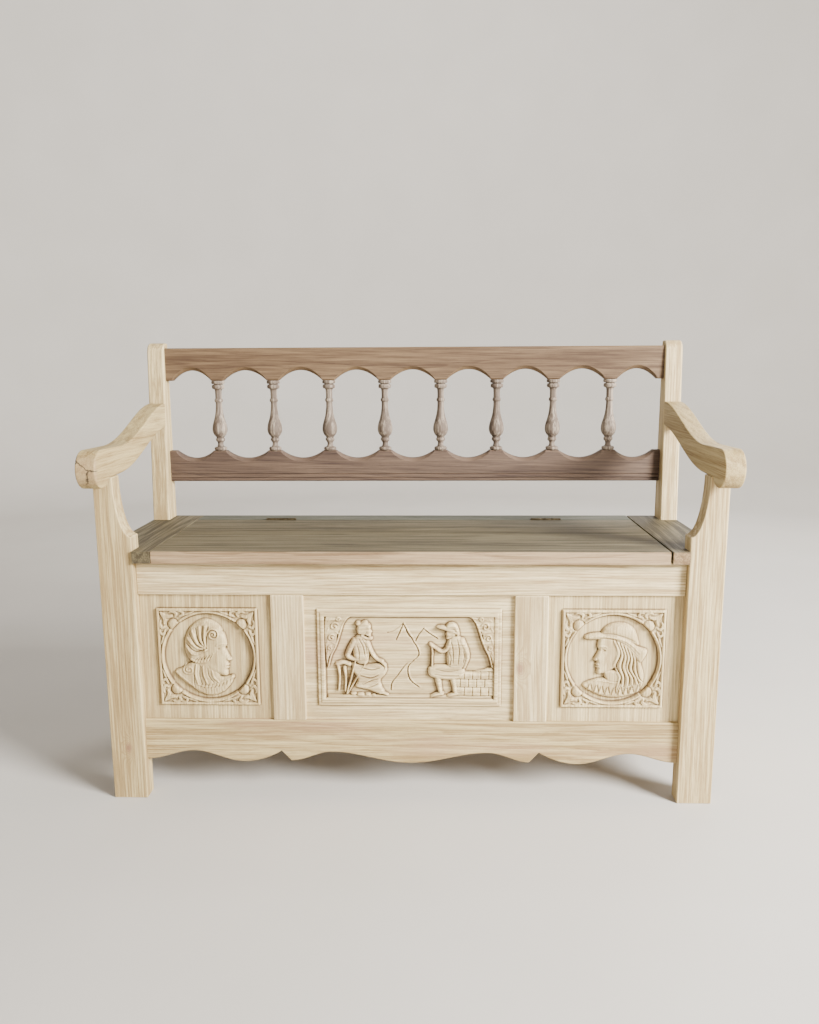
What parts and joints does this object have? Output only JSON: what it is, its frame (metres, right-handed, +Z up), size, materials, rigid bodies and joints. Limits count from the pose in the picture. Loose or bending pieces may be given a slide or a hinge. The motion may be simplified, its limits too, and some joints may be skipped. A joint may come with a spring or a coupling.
{
  "type": "entryway storage bench",
  "caption": "Carved oak hall bench with scrolled arms, a spindled back and a hinged seat lid over a storage chest.",
  "frame": {"origin": "on the floor, under the middle of the bench's overall box", "axes": "+X along the bench, to the right as seen from its front, +Y to its back, +Z up"},
  "size_m": [1.15, 0.4358, 0.877],
  "materials": {
    "frame_oak": "bleached, open-grained, unvarnished oak",
    "panel_oak": "bleached carved oak",
    "seat_oak": "weathered grey-brown oak",
    "back_rail_oak": "warm reddish-brown oak, dull",
    "spindle_oak": "turned, pale pinkish grey",
    "inner_oak": "sawn, untreated",
    "hinge_brass": "aged",
    "screw_steel": "plain"
  },
  "bodies": {
    "bench": {"front_leg_left": "frame_oak", "front_leg_right": "frame_oak", "back_post_left": "frame_oak", "back_post_right": "frame_oak", "arm_left": "frame_oak", "arm_right": "frame_oak", "seat_end_left": "seat_oak", "seat_end_right": "seat_oak", "hinge_strip": "seat_oak", "back_top_rail": "back_rail_oak", "back_lower_rail": "back_rail_oak", "spindle_1": "spindle_oak", "spindle_2": "spindle_oak", "spindle_3": "spindle_oak", "spindle_4": "spindle_oak", "spindle_5": "spindle_oak", "spindle_6": "spindle_oak", "spindle_7": "spindle_oak", "spindle_8": "spindle_oak", "front_top_rail": "frame_oak", "front_bottom_rail": "frame_oak", "stile_left": "frame_oak", "stile_right": "frame_oak", "front_panel_left": "panel_oak", "front_panel_centre": "panel_oak", "front_panel_right": "panel_oak", "side_top_rail_left": "frame_oak", "side_top_rail_right": "frame_oak", "side_bottom_rail_left": "frame_oak", "side_bottom_rail_right": "frame_oak", "side_panel_left": "panel_oak", "side_panel_right": "panel_oak", "rear_top_rail": "inner_oak", "rear_bottom_rail": "inner_oak", "rear_panel": "inner_oak", "floor_cleat_front": "inner_oak", "floor_cleat_rear": "inner_oak", "floor_board_1": "inner_oak", "floor_board_2": "inner_oak", "floor_board_3": "inner_oak", "floor_board_4": "inner_oak", "hinge_left_strip_leaf": "hinge_brass", "hinge_left_pin": "hinge_brass", "hinge_left_strip_screw_1": "screw_steel", "hinge_left_strip_screw_2": "screw_steel", "hinge_right_strip_leaf": "hinge_brass", "hinge_right_pin": "hinge_brass", "hinge_right_strip_screw_1": "screw_steel", "hinge_right_strip_screw_2": "screw_steel"},
    "lid": {"lid_board_front": "seat_oak", "lid_board_rear": "seat_oak", "lid_batten_left": "inner_oak", "lid_batten_right": "inner_oak", "hinge_left_lid_leaf": "hinge_brass", "hinge_left_lid_screw_1": "screw_steel", "hinge_left_lid_screw_2": "screw_steel", "hinge_right_lid_leaf": "hinge_brass", "hinge_right_lid_screw_1": "screw_steel", "hinge_right_lid_screw_2": "screw_steel"}
  },
  "joints": [
    {"name": "lid_hinge", "type": "hinge", "parent": "bench", "child": "lid", "pos_m": [0, 0.164, 0.494], "axis": [-1, 0, 0], "range_deg": [0, 94]}
  ]
}
